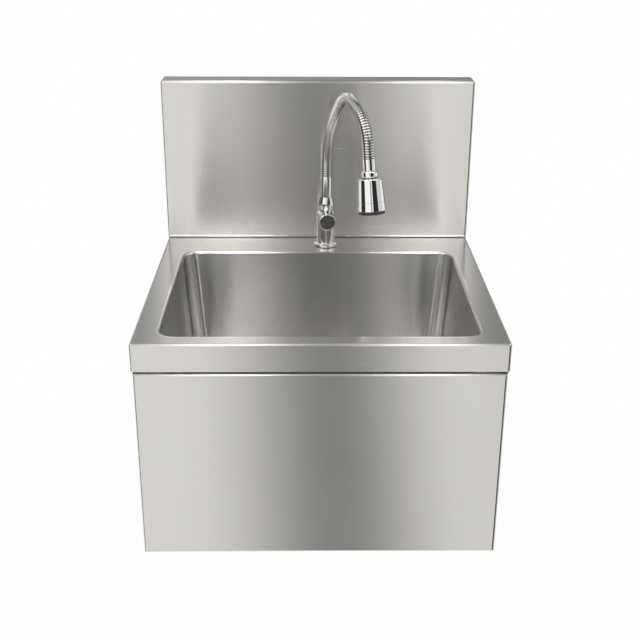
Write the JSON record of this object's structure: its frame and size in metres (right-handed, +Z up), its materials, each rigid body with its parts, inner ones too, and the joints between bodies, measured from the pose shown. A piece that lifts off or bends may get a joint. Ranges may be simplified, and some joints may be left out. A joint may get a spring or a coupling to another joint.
{
  "type": "hand wash sink",
  "caption": "Wall-hung stainless hand wash sink with a folded backsplash, a knee panel that works a self-closing valve, and a deck tap with a flexible ribbed spout and spray head.",
  "frame": {"origin": "middle of the two fixing holes of the wall rail, on the wall plane", "axes": "+Z up, +Y into the wall, -Y the front that faces the user, +X the viewer's right"},
  "size_m": [0.4, 0.385, 0.4673],
  "materials": {
    "stainless": "brushed",
    "chrome": "polished",
    "brass": "satin",
    "copper": "satin",
    "rubber": "matte",
    "polymer": "matte"
  },
  "bodies": {
    "basin": {"deck_top": "stainless", "bowl": "stainless", "backsplash": "stainless", "left_cheek": "stainless", "right_cheek": "stainless", "wall_rail": "stainless", "rear_brace": "stainless", "valve_bracket": "stainless", "bracket_screws": "stainless", "bracket_nuts": "stainless", "hinge_pins": "stainless", "hinge_nuts": "stainless", "stop_pins": "stainless", "stop_nuts": "stainless", "valve_spring": "stainless", "tap_steel_washer": "stainless", "waste_body": "stainless", "strainer_plate": "stainless", "strainer_screw": "stainless", "tap_flange": "chrome", "tap_body": "chrome", "spout_nut": "chrome", "valve_body": "brass", "valve_bonnet": "brass", "valve_lock_nuts": "brass", "pipe_nut_lower": "brass", "pipe_nut_upper": "brass", "olive_lower": "brass", "olive_upper": "brass", "tap_shank": "brass", "tap_backnut": "brass", "supply_pipe": "copper", "tap_gasket": "rubber", "tap_rubber_washer": "rubber", "waste_gasket_upper": "rubber", "waste_gasket_lower": "rubber", "waste_backnut": "polymer", "cartridge": "polymer"},
    "spout": {"lower_sleeve": "chrome", "spout_o_ring": "rubber", "gooseneck_hose": "chrome", "inner_tube": "rubber", "upper_sleeve": "chrome", "swivel_nut": "chrome", "head_seal": "rubber", "spray_head": "chrome"},
    "spray_ring": {"selector_ring": "chrome", "spray_face": "polymer", "spray_nozzles": "rubber"},
    "knob": {"control_knob": "chrome", "knob_cap": "polymer", "knob_spindle": "brass"},
    "knee_panel": {"knee_panel": "stainless", "panel_stiffener": "stainless", "push_pad": "rubber", "hinge_bushes": "polymer"},
    "plunger": {"valve_plunger": "brass", "valve_seal": "rubber"}
  },
  "joints": [
    {"name": "spout_swivel", "type": "hinge", "parent": "basin", "child": "spout", "pos_m": [0.0105, -0.065, -0.106], "axis": [0, 0, 1], "range_deg": [-106, 54]},
    {"name": "spray_select", "type": "hinge", "parent": "spout", "child": "spray_ring", "pos_m": [0.06197, -0.17194, -0.06713], "axis": [-0.0746, 0.1549, 0.9851], "range_deg": [0, 90]},
    {"name": "knob_turn", "type": "hinge", "parent": "basin", "child": "knob", "pos_m": [0.01172, -0.08496, -0.1195], "axis": [0.061, -0.9981, 0], "range_deg": [0, 90]},
    {"name": "knee_push", "type": "hinge", "parent": "basin", "child": "knee_panel", "pos_m": [0, -0.357, -0.206], "axis": [1, 0, 0], "range_deg": [0, 4], "stiffness_Nm_per_rad": 37, "springref_deg": -3.55},
    {"name": "valve_push", "type": "slide", "parent": "basin", "child": "plunger", "axis": [0, 1, 0], "range_m": [0, 0.0115]}
  ],
  "couplings": [
    {"joint": "valve_push", "follows": "knee_push", "m_per_rad": 0.16}
  ]
}
